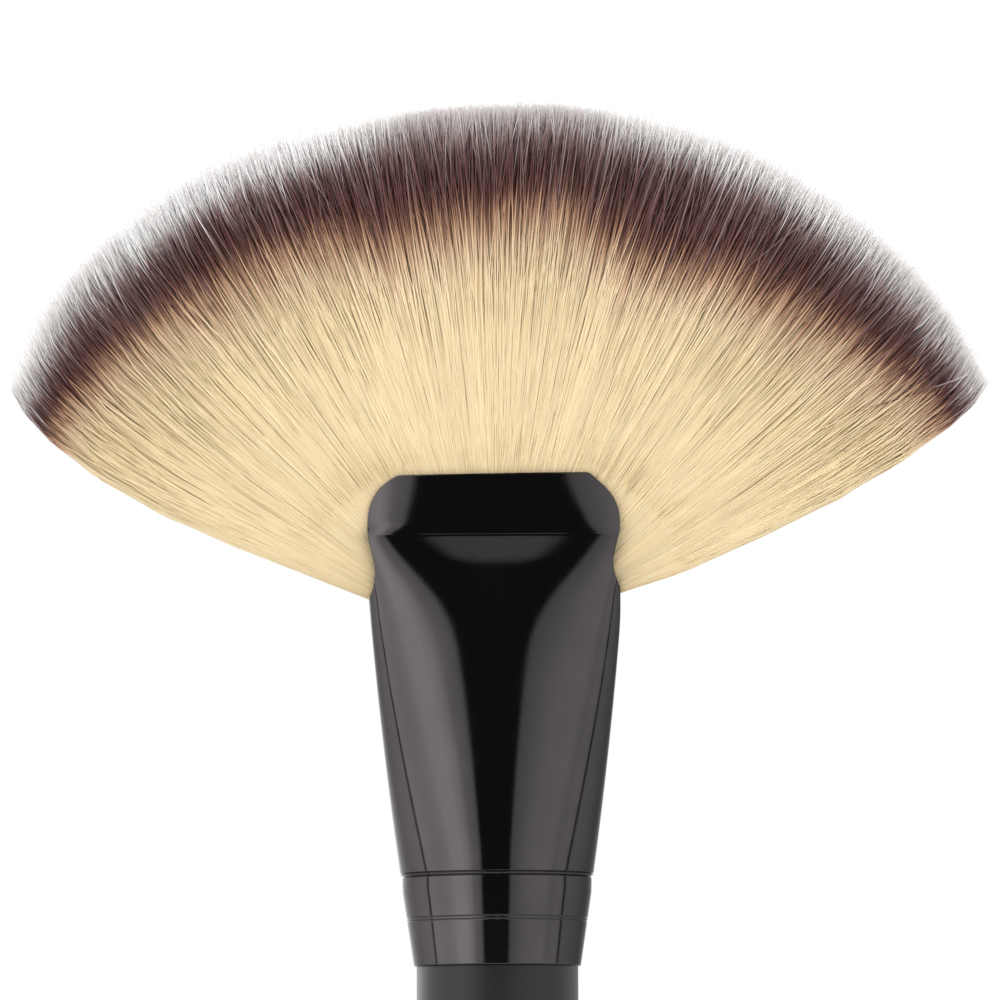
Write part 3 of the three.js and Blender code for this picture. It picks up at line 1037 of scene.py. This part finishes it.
@dataclass
class Fan:
    """The shape that the filaments fill: a flat fan about a centre inside the ferrule.

    The pairs are for the -X and +X sides, which differ a little, as the trimmed ends and the cut mouth do.
    """

    centre: float = 144.0
    radius: float = 51.3
    proud: float = 0.42
    shoulder_rise: Pair = (1.4, 1.3)
    corner_drop: Pair = (2.1, 0.95)
    edge_angle: Pair = (math.radians(58.5), math.radians(59.8))
    bow: Pair = (math.radians(5.7), math.radians(3.5))
    pinch: Pair = (0.02, 0.085)
    bow_start: float = 13.0
    thin_angle: float = math.radians(68.0)
    mouth_turns: tuple[float, ...] = (0.0, 12.7, 21.6, 26.0, 29.2, 35.5, 41.4, 47.7, 51.8, 56.4, 60.0)
    mouth_depths: tuple[float, ...] = (2.55, 2.42, 2.12, 1.85, 1.68, 1.38, 1.5, 1.7, 1.4, 0.85, 0.65)
    root_height: float = 149.6
    shoulder_turn: Pair = (math.radians(8.0), math.radians(34.0))
    corner_turn: Pair = (math.radians(47.0), math.radians(60.0))
    proud_from: Pair = (0.0, math.radians(8.0))
    proud_until: Pair = (0.35, 0.54)
    bow_power: float = 0.6
    pinch_until: Pair = (12.8, 17.5)
    thin_limit: float = 0.92
    free_radii: tuple[float, ...] = (18.0, 30.0, 38.0, 45.0, 51.0)
    free_depths: tuple[float, ...] = (2.8, 3.8, 4.2, 3.9, 2.9)
    free_from: Pair = (20.0, 31.0)

    def reach(self, theta: Array) -> Array:
        """Radius of the trimmed ends.

        It is a little more at the shoulders and right of the middle, and a little less at the corners.

        Args:
            theta: angle of the filament's tip.

        Returns:
            Radii.
        """
        turn = np.abs(theta)
        shoulder = by_side(theta, self.shoulder_rise) * smooth_ramp(turn, *self.shoulder_turn)
        corner = by_side(theta, self.corner_drop) * smooth_ramp(turn, *self.corner_turn)
        right = smooth_ramp(theta, *self.proud_from) * (1.0 - smooth_ramp(theta, *self.proud_until))
        return self.radius + shoulder + self.proud * right - corner

    def bent(self, theta: Array, r: Array) -> Array:
        """Angle of a filament at radius r.

        Outer filaments bow outward by a flattened half sine wave, and are pinched inward where they
        leave the notch, as the fourth power of their angle.

        Args:
            theta: angle of the filament's tip.
            r: distance from the fan's centre.

        Returns:
            Angles.
        """
        t = np.clip((r - self.bow_start) / (self.radius - self.bow_start), 0.0, 1.0)
        share = theta / by_side(theta, self.edge_angle)
        bow = by_side(theta, self.bow) * share**2 * np.sign(theta) * np.sin(np.pi * t) ** self.bow_power
        pinch = by_side(theta, self.pinch) * share**4 * (1.0 - smooth_ramp(r, *self.pinch_until))
        return (theta + bow) * (1.0 - pinch)

    def half_depth(self, theta: Array, r: Array) -> Array:
        """Half depth of the fan: it fills the mouth, is fullest two thirds out, and thins at tips and sides.

        The mouth_depths are the half depths that the mouth leaves free at mouth_turns, in degrees.

        Args:
            theta: angle of the filament.
            r: distance from the fan's centre.

        Returns:
            Half depths.
        """
        turn = np.abs(theta)
        mouth = np.interp(np.degrees(turn), self.mouth_turns, self.mouth_depths)
        thin = np.sqrt(1.0 - np.clip(turn / self.thin_angle, 0.0, self.thin_limit) ** 2)
        free = thin * np.interp(r, self.free_radii, self.free_depths)
        return mouth + (free - mouth) * smooth_ramp(r, *self.free_from)


@dataclass
class Draws:
    """What chance gives each filament of a tuft, one number each."""

    theta: Array
    depth: Array
    lock_theta: Array
    lock_depth: Array
    pull: Array
    lean: Array
    curl: Array
    drift: Array
    inward: Array
    wave: Array
    wave_height: Array
    radius: Array
    colour_shift: Array
    frost_shift: Array
    girth: Array
    shade: Array
    turn: Array


@dataclass
class Tuft:
    """One sector of loose filaments, at the angle of one of the sprung joints in model.json.

    A lock is a group of neighbours that are drawn together; the share alike of them also take its shade.
    Each dye dip is an angle in degrees, a width in degrees and the millimetres by which the dye reaches
    further in. Where a pair says way, it gives shares of the way from the root to the tip.
    """

    number: int
    angle: float
    half_angle: float
    fan: Fan
    count: int = 4500
    sides: int = 3
    from_tip: tuple[float, ...] = (0.0, 1.8, 4.6, 9.5, 16.5, 24.0, 31.2)
    thickness: float = 0.134
    tip_thickness: float = 0.046
    taper: float = 6.0
    locks: int = 75
    pull: float = 0.15
    strays: float = 0.12
    alike: float = 0.5
    lean_spread: float = 0.025
    stray_spread: float = 0.065
    curl_spread: float = 0.014
    drift_spread: float = 0.17
    inward: float = 0.75
    frost_length: Pair = (3.2, 1.9)
    frost_fade: Pair = (38.0, 50.0)
    corner_trim: float = 5.2
    band_trim: Pair = (2.4, 1.6)
    dye_dips: tuple[tuple[float, float, float], ...] = (
        (20.5, 6.5, 3.5),
        (34.0, 8.0, 0.9),
        (-12.0, 6.0, 1.5),
    )
    bend: Pair = (15.5, 31.5)
    overlap: float = 1.01
    skin_chance: float = 0.75
    skin_depth: float = 0.32
    skin_power: float = 1.3
    depth_weight: float = 2.0
    unevenness: Pair = (0.25, 2.0)
    rounding: float = 0.4
    pull_range: Pair = (0.3, 1.4)
    pull_way: Pair = (0.55, 1.0)
    depth_pull: float = 0.4
    inward_way: Pair = (0.6, 1.0)
    loose: float = 0.12
    loose_way: Pair = (0.35, 0.8)
    wave_spread: float = 0.0016
    wave_length: Pair = (4.0, 5.0)
    wave_depth: float = 0.1
    wave_way: Pair = (0.3, 0.7)
    dye_spread: Pair = (0.45, 0.6)
    frost_spread: float = 0.9
    girth_range: Pair = (0.75, 1.2)
    girth_power: float = 0.8
    root_reach: float = 14.5
    root_drop: float = 7.0
    root_turn: Pair = (0.4, 0.85)
    seed: int = 7100

    def draw(self, rng: np.random.Generator) -> Draws:
        """Draws where each filament ends and how it strays.

        Args:
            rng: seeded source of numbers.

        Returns:
            The draws.
        """
        n, fan = self.count, self.fan
        spread = self.half_angle * self.overlap
        theta = self.angle + spread * rng.uniform(-1.0, 1.0, n)
        lock_theta = self.angle + spread * rng.uniform(-1.0, 1.0, self.locks)
        lock_depth = rng.uniform(-1.0, 1.0, self.locks)
        side = np.sign(rng.uniform(-1.0, 1.0, n))
        skin = side * (1.0 - self.skin_depth * rng.uniform(0.0, 1.0, n) ** self.skin_power)
        depth = np.where(rng.uniform(0.0, 1.0, n) < self.skin_chance, skin, rng.uniform(-1.0, 1.0, n))
        apart = np.abs(theta[:, None] - lock_theta) * fan.radius
        lock = np.argmin(apart + self.depth_weight * np.abs(depth[:, None] - lock_depth), axis=1)
        stray = rng.uniform(0.0, 1.0, n) < self.strays
        shy = self.unevenness[0] * np.abs(rng.normal(0.0, 1.0, n))
        shy = shy + self.unevenness[1] * rng.uniform(0.0, 1.0, n) ** 6 + self.rounding * depth**4
        lean = rng.normal(0.0, 1.0, n) * np.where(stray, self.stray_spread, self.lean_spread)
        alike = rng.uniform(0.0, 1.0, n) < self.alike
        lock_shade = rng.integers(0, FilamentFinish.shades, self.locks)
        lock_dye, own_dye = self.dye_spread
        return Draws(
            theta=theta,
            depth=depth,
            lock_theta=lock_theta[lock],
            lock_depth=lock_depth[lock],
            pull=np.where(stray, 0.0, self.pull * rng.uniform(*self.pull_range, n)),
            lean=lean,
            curl=rng.normal(0.0, self.curl_spread, n),
            drift=rng.normal(0.0, self.drift_spread, n),
            inward=self.inward * rng.uniform(0.0, 1.0, n),
            wave=rng.uniform(0.0, 2.0 * np.pi, n),
            wave_height=rng.normal(0.0, self.wave_spread, n),
            radius=fan.reach(theta) - shy,
            colour_shift=rng.normal(0.0, lock_dye, self.locks)[lock] + rng.normal(0.0, own_dye, n),
            frost_shift=self.frost_spread * np.abs(rng.normal(0.0, 1.0, n)),
            girth=rng.uniform(*self.girth_range, n),
            shade=np.where(alike, lock_shade[lock], rng.integers(0, FilamentFinish.shades, n)),
            turn=rng.uniform(0.0, 2.0 * np.pi, n),
        )

    def paths(self, draws: Draws) -> tuple[Array, Array, Array]:
        """Centre lines of the filaments, from the root to the tip.

        A filament runs straight out from the fan's centre. On the way it bows with the fan, is drawn to
        its lock, leans by the square of the way, curls by a half sine wave and waves a little. Near its
        end it turns in from the fan's face. Angles past the fan's edge are folded back inside it.

        Args:
            draws: what chance gives each filament.

        Returns:
            Angle, depth and radius at each ring of each filament.
        """
        fan = self.fan
        tip = {key: value[:, None] for key, value in vars(draws).items()}
        root = (fan.root_height - fan.centre) / np.cos(tip["theta"])
        drop = self.root_drop * smooth_ramp(np.abs(tip["theta"]), *self.root_turn)
        root = np.maximum(root, self.root_reach - drop)
        steps = np.array(self.from_tip)[None, ::-1]
        r = np.concatenate([root, np.maximum(tip["radius"] - steps, root + 1.0)], axis=1)
        way = (r - root) / (tip["radius"] - root)
        drawn = tip["pull"] * smooth_ramp(way, *self.pull_way)
        theta = tip["theta"] + (tip["lock_theta"] - tip["theta"]) * drawn + tip["lean"] * way**2
        theta += tip["curl"] * np.sin(np.pi * way)
        theta += tip["wave_height"] * np.sin(r / self.wave_length[0] + tip["wave"]) * way
        low, high = -fan.edge_angle[0], fan.edge_angle[1]
        theta = low + np.abs(theta - low)
        theta = high - np.abs(high - theta)
        drawn_in = (tip["lock_depth"] - tip["depth"]) * self.depth_pull * drawn
        share = tip["depth"] + drawn_in + tip["drift"] * way
        share *= 1.0 - tip["inward"] * smooth_ramp(way, *self.inward_way)
        limit = 1.0 + self.loose * smooth_ramp(way, *self.loose_way)
        depth = np.clip(share, -limit, limit) * fan.half_depth(theta, r)
        waved = np.sin(r / self.wave_length[1] + 1.7 * tip["wave"]) * smooth_ramp(way, *self.wave_way)
        depth += self.wave_depth * waved
        return fan.bent(theta, r), depth, r

    def build(self) -> Object:
        """Makes the sector's filaments as thin closed three-sided tubes in one mesh.

        Returns:
            The object, with the map that its finish reads.
        """
        draws = self.draw(np.random.default_rng(self.seed + self.number))
        theta, depth, r = self.paths(draws)
        n, rings = theta.shape
        to_tip = draws.radius[:, None] - r
        full = np.clip(to_tip / self.taper, 0.0, 1.0) ** self.girth_power
        girth = self.tip_thickness + (self.thickness - self.tip_thickness) * full
        girth = 0.5 * girth * draws.girth[:, None]
        turn = draws.turn[:, None] + 2.0 * np.pi * np.arange(self.sides)[None] / self.sides
        across = girth[:, :, None] * np.cos(turn)[:, None, :]
        through = girth[:, :, None] * np.sin(turn)[:, None, :]
        centre_x, centre_z = r * np.sin(theta), self.fan.centre + r * np.cos(theta)
        x = centre_x[:, :, None] + across * np.cos(theta)[:, :, None]
        y = depth[:, :, None] - through
        z = centre_z[:, :, None] - across * np.sin(theta)[:, :, None]
        points = np.stack([x, y, z], axis=-1).reshape(-1, 3)
        own = grid_quads(rings, self.sides)
        offset = (np.arange(n) * rings * self.sides)[:, None, None]
        quads = (own[None] + offset).reshape(-1, 4)
        root_cap = np.arange(self.sides)[::-1][None] + offset[:, :, 0]
        tip_cap = (rings - 1) * self.sides + np.arange(self.sides)[None] + offset[:, :, 0]
        obj = make_mesh(f"filaments_{self.number}", points, [quads, root_cap, tip_cap])
        self.write_map(obj, draws, to_tip, own, rings)
        return obj

    def dye_distance(self, draws: Draws, to_tip: Array) -> Array:
        """Distance from the tip as the dye sees it.

        Each filament is shifted a little. At the shoulders the frosted tip is longer, towards the fan's
        corners more of the dyed end is trimmed off, and in the dips the dye reaches further in.

        Args:
            draws: what chance gives each filament.
            to_tip: distance from the tip at each ring.

        Returns:
            Distances.
        """
        side = draws.theta[:, None]
        turn = np.degrees(np.abs(side))
        fade = smooth_ramp(turn, *self.frost_fade)
        frost = by_side(side, self.frost_length) * smooth_ramp(turn, 6.0, 24.0) * (1.0 - 0.6 * fade)
        longer = frost + draws.frost_shift[:, None] * smooth_ramp(to_tip, 0.4, 2.0)
        frosted = longer * (1.0 - smooth_ramp(to_tip, 2.2, 5.6))
        trimmed = self.corner_trim * smooth_ramp(turn, 47.0, 59.0) * smooth_ramp(to_tip, 1.0, 4.5)
        narrowed = by_side(side, self.band_trim) * smooth_ramp(turn, 35.0, 45.0)
        for at, wide, deep in self.dye_dips:
            narrowed = narrowed - deep * np.exp(-(((np.degrees(side) - at) / wide) ** 2))
        shifted = draws.colour_shift[:, None] * smooth_ramp(to_tip, 0.5, 4.0)
        return to_tip - frosted + trimmed + narrowed * smooth_ramp(to_tip, 4.0, 9.0) + shifted

    def write_map(self, obj: Object, draws: Draws, to_tip: Array, own: Array, rings: int) -> None:
        """Writes the map: U is the filament's shade, V its distance from the tip over the finish's reach.

        Args:
            obj: the filaments.
            draws: what chance gives each filament.
            to_tip: distance from the tip at each ring.
            own: quads of one filament.
            rings: rings of one filament.
        """
        finish = FilamentFinish()
        v_ring = np.clip(finish.map_height(self.dye_distance(draws, to_tip)), 0.004, 0.996)
        corner_ring = own // self.sides
        corner_side = np.tile(np.array([0.0, 1.0, 1.0, 0.0]), (len(own), 1))
        around = (np.arange(len(own)) % self.sides)[:, None] + corner_side
        u_own = (around / self.sides - 0.5) * 0.7
        u_quads = (draws.shade[:, None, None] + 0.5 + u_own[None]) / finish.shades
        v_quads = v_ring[:, corner_ring]
        u_caps = (draws.shade[:, None] + 0.5 + np.linspace(-0.3, 0.3, self.sides)[None]) / finish.shades
        v_root = np.repeat(v_ring[:, :1], self.sides, axis=1)
        v_tip = np.repeat(v_ring[:, rings - 1 :], self.sides, axis=1)
        u = np.concatenate([u_quads.ravel(), u_caps.ravel(), u_caps.ravel()])
        v = np.concatenate([v_quads.ravel(), v_root.ravel(), v_tip.ravel()])
        layer = obj.data.uv_layers.new(name=STRAND_MAP)
        layer.data.foreach_set("uv", np.stack([u, v], axis=-1).astype(np.float32).ravel())


@dataclass
class RootBundle:
    """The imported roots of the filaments, from their tied end in the resin to the mouth."""

    low: float = 137.0
    high: float = 158.6
    width_heights: tuple[float, ...] = (137.0, 138.0, 145.0, 149.0, 151.5, 158.6)
    half_widths: tuple[float, ...] = (7.0, 7.6, 7.6, 9.4, 10.1, 11.0)
    depth_heights: tuple[float, ...] = (137.0, 138.0, 145.0, 149.0, 153.0, 158.6)
    half_depths: tuple[float, ...] = (2.8, 3.3, 3.3, 3.3, 2.3, 1.7)
    squareness: float = 2.6
    arc_start: float = 150.0
    arc_drop: float = 4.6
    columns: int = 240
    rows: int = 60

    def build(self) -> Object:
        """Makes the bundle: rounded sections that widen from the tied block into the fan's foot.

        A row's height follows an arc about the fan's centre as it nears the top; fine ridges run along it.

        Returns:
            The object.
        """
        angle = 2.0 * np.pi * np.arange(self.columns)[None] / self.columns
        t = np.linspace(0.0, 1.0, self.rows)[:, None]
        level = self.low + (self.high - self.low) * t
        half_x = np.interp(level, self.width_heights, self.half_widths)
        half_y = np.interp(level, self.depth_heights, self.half_depths)
        ridge = 1.0 + 0.006 * np.sin(angle * 60.0) + 0.004 * np.sin(angle * 23.0 + 1.0)
        x, y = superellipse(angle, half_x * ridge, half_y * ridge, np.full_like(level, self.squareness))
        across = x / self.half_widths[-1]
        drop = smooth_ramp(level, self.arc_start, self.high) * self.arc_drop * across**2
        ends = np.array([[0.0, 0.0, self.low], [0.0, 0.0, self.high]])
        return closed_tube("root_block", np.stack([x, y, level - drop], axis=-1), ends)


@dataclass(frozen=True)
class RootFinish:
    """Packed filament roots: fine streaks of cream along the brush, and painted shade in the gaps between
    them.
    """

    name: str = "packed_roots"
    pale: Colour = (0.86, 0.70, 0.44)
    # Painted shade: the colour of the gaps between the packed roots, where the bump is lowest.
    shade_between_fibres: Colour = (0.46, 0.32, 0.16)

    def build(self) -> Material:
        """Makes the material.

        Returns:
            The material, streaked along Z on Object coordinates.
        """
        shade = Shade(self.name)
        shade.plain(Roughness=0.6)
        streak = shade.noise(shade.object_place(0.05), 9000.0, 3.0)
        # Darker where the streaks and the bump are low: painted shade in the gaps between the roots.
        colour = shade.colours(streak, [(0.35, self.shade_between_fibres), (0.6, self.pale)])
        shade.link(colour, shade.surface.inputs["Base Color"])
        shade.bump(streak, 0.08 * MM, 0.7)
        return shade.material


# ---------------------------------------------------------------- studio


@dataclass
class Studio:
    """Camera, soft light and floor."""

    camera_distance: float = 780.0
    camera_height: float = 97.0
    aim_x: float = 0.45
    aim_z: float = 159.54
    roll: float = math.radians(-0.3)
    view_width: float = 90.0
    sensor: float = 36.0
    floor_radius: float = 400.0
    floor_low: float = -4.0
    floor_top: float = -0.02
    floor_sides: int = 96
    brightest: float = 5.0
    panel_light: float = 0.8
    even_light: float = 1.34
    rise_of_light: float = 0.34
    panel_height: Pair = (math.radians(26.0), math.radians(31.0))
    panel_side: Pair = (math.radians(5.0), math.radians(2.0))

    def add_camera(self) -> None:
        """Adds the camera, far off and a little below the fan, looking up at it."""
        data = bpy.data.cameras.new("camera")
        camera = bpy.data.objects.new("camera", data)
        bpy.context.scene.collection.objects.link(camera)
        place = Vector((self.aim_x, -self.camera_distance, self.camera_height)) * MM
        aim = Vector((self.aim_x, 0.0, self.aim_z)) * MM
        camera.location = place
        upright = (aim - place).to_track_quat("-Z", "Y")
        camera.rotation_euler = (upright @ Quaternion((0.0, 0.0, 1.0), self.roll)).to_euler()
        data.sensor_width = self.sensor
        data.lens = self.sensor * (aim - place).length / (self.view_width * MM)
        data.clip_start = 0.01
        bpy.context.scene.camera = camera

    def add_floor(self) -> None:
        """Adds a round pale floor at the height of the handle's end."""
        profile = np.array([[self.floor_radius, self.floor_low], [self.floor_radius, self.floor_top]])
        floor = turned("floor", profile, self.floor_sides)
        shade = Shade("pale_floor")
        shade.plain(Roughness=0.75)
        grain = shade.noise(shade.object_place(), 40.0)
        colour = shade.colours(grain, [(0.0, (0.80,) * 3), (1.0, (0.84,) * 3)])
        shade.link(colour, shade.surface.inputs["Base Color"])
        floor.data.materials.append(shade.material)

    def add_light(self) -> None:
        """Lights the brush from a soft white room, as the world's background.

        Its diffuse light is even and a little stronger from above. Glossy surfaces mirror tall soft boxes
        on both sides, whose brightness depends on the bearing round the brush, 0 at the front, with the
        dark camera side between them and a small panel above it. The camera sees a white room.
        """
        bpy.context.scene.view_settings.view_transform = "Standard"
        world = bpy.data.worlds.new("studio")
        world.use_nodes = True
        bpy.context.scene.world = world
        graph = Graph(world.node_tree)
        parts = graph.node("ShaderNodeSeparateXYZ")
        graph.link(graph.node("ShaderNodeTexCoord").outputs["Generated"], parts.inputs["Vector"])
        height = parts.outputs["Z"]
        forward = graph.maths("MULTIPLY", parts.outputs["Y"], -1.0)
        bearing = graph.maths("ARCTAN2", parts.outputs["X"], forward)
        turn = graph.maths("MULTIPLY_ADD", bearing, 1.0 / (2.0 * math.pi), 0.5)
        ring = self.soft_boxes()
        stops = [(at / 360.0 + 0.5, (light / self.brightest,) * 3) for at, light in ring]
        boxes = graph.maths("MULTIPLY", graph.colours(turn, stops), self.brightest)
        lift = graph.ramp(height, *np.sin(self.panel_height))
        narrow = graph.ramp(graph.maths("ABSOLUTE", bearing), *self.panel_side)
        panel = graph.maths("MULTIPLY", graph.maths("MULTIPLY", lift, narrow), self.panel_light)
        mirrored = graph.maths("ADD", boxes, panel)
        even = graph.maths("MULTIPLY_ADD", height, self.rise_of_light, self.even_light)
        path = graph.node("ShaderNodeLightPath")
        lit = self.either(graph, path.outputs["Is Glossy Ray"], even, mirrored)
        seen = self.either(graph, path.outputs["Is Camera Ray"], lit, 1.0)
        room = graph.node("ShaderNodeBackground")
        graph.link(seen, room.inputs["Color"])
        graph.link(room.outputs["Background"], graph.node("ShaderNodeOutputWorld").inputs["Surface"])

    @staticmethod
    def either(graph: Graph, switch: Socket, off: float | Socket, on: float | Socket) -> Socket:
        """Chooses a value by a switch.

        Args:
            graph: where the choice is made.
            switch: 0 or 1.
            off: the value at 0.
            on: the value at 1.

        Returns:
            The chosen value.
        """
        choice = graph.node("ShaderNodeMix", data_type="FLOAT")
        for name, value in (("Factor", switch), ("A", off), ("B", on)):
            graph.feed(choice.inputs[name], value)
        return choice.outputs["Result"]

    @staticmethod
    def soft_boxes() -> list[Pair]:
        """Brightness that a glossy surface mirrors at each bearing in degrees, negative on the -X side.

        Returns:
            Pairs of bearing and brightness, in order.
        """
        return [
            (-180.0, 1.0), (-143.0, 3.2), (-125.0, 2.3), (-95.5, 2.5), (-94.6, 0.2),
            (-92.0, 0.2), (-91.1, 3.1), (-79.0, 2.9), (-70.0, 2.8), (-60.0, 3.1),
            (-52.0, 3.7), (-41.0, 3.75), (-33.0, 3.0), (-28.0, 1.95), (-20.0, 1.45),
            (-17.5, 0.09), (14.5, 0.09), (17.0, 1.1), (33.0, 1.75), (41.0, 1.95),
            (61.0, 2.1), (71.0, 1.7), (80.0, 1.85), (89.1, 1.7), (90.0, 0.2),
            (92.5, 0.2), (93.4, 1.5), (126.0, 1.3), (160.0, 0.8), (180.0, 1.0),
        ]


# ---------------------------------------------------------------- assembly


def dress(
    obj: Object,
    material: Material,
    replaced: Sequence[str] = (),
    body: str | None = BODY,
) -> None:
    """Gives a piece its finish in its slot, hides the CAD nodes that it stands for and attaches it to the
    body it rides on.

    Args:
        obj: the piece.
        material: its finish.
        replaced: CAD nodes that it stands for.
        body: the body it rides on, or None to leave it unattached.
    """
    obj.data.materials.clear()
    obj.data.materials.append(material)
    if replaced:
        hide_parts(*replaced)
    if body:
        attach(obj, body)
    log.info("%s: %d faces", obj.name, len(obj.data.polygons))


def add_tufts(fan: Fan, material: Material) -> None:
    """Adds a sector of filaments at each bending joint and hides the CAD node that it stands for.

    Args:
        fan: the shape that the filaments fill.
        material: the filaments' finish.
    """
    joints = [j for j in frame["joints"] if j["name"].startswith("bristle_bend")]
    sector = sum(fan.edge_angle) / len(joints)
    for number, joint in enumerate(joints, start=1):
        hinge = Vector(joint["pos_m"]) - Vector((0.0, 0.0, fan.centre * MM))
        angle = math.atan2(hinge.x, hinge.z)
        tuft = Tuft(number=number, angle=angle, half_angle=sector / 2.0, fan=fan)
        obj = tuft.build()
        node = joint["child"]
        dress(obj, material, [node], body=None)
        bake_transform(obj)


def main() -> None:
    """Builds the studio and every piece of the brush in order."""
    logging.basicConfig(level=logging.INFO, format="%(name)s %(message)s")
    studio = Studio()
    studio.add_camera()
    studio.add_light()
    studio.add_floor()
    uneven = handled_surface_group()
    ferrule = Ferrule()
    dress(ferrule.build(), Coat.BLACK_METAL.value.build(uneven), ["ferrule"])
    dress(Handle().build(ferrule.low), Coat.LACQUER.value.build(uneven), ["handle"])
    dress(BindingThread().build(), ThreadFinish().build(), ["binding_thread"])
    resin = frame["nodes"]["resin_plug"]
    resin.data.materials.clear()
    resin.data.materials.append(Coat.RESIN.value.build(uneven))
    dress(RootBundle().build(), RootFinish().build(), ["root_bundle"])
    add_tufts(Fan(), FilamentFinish().build())


if __name__ == "__main__":
    main()
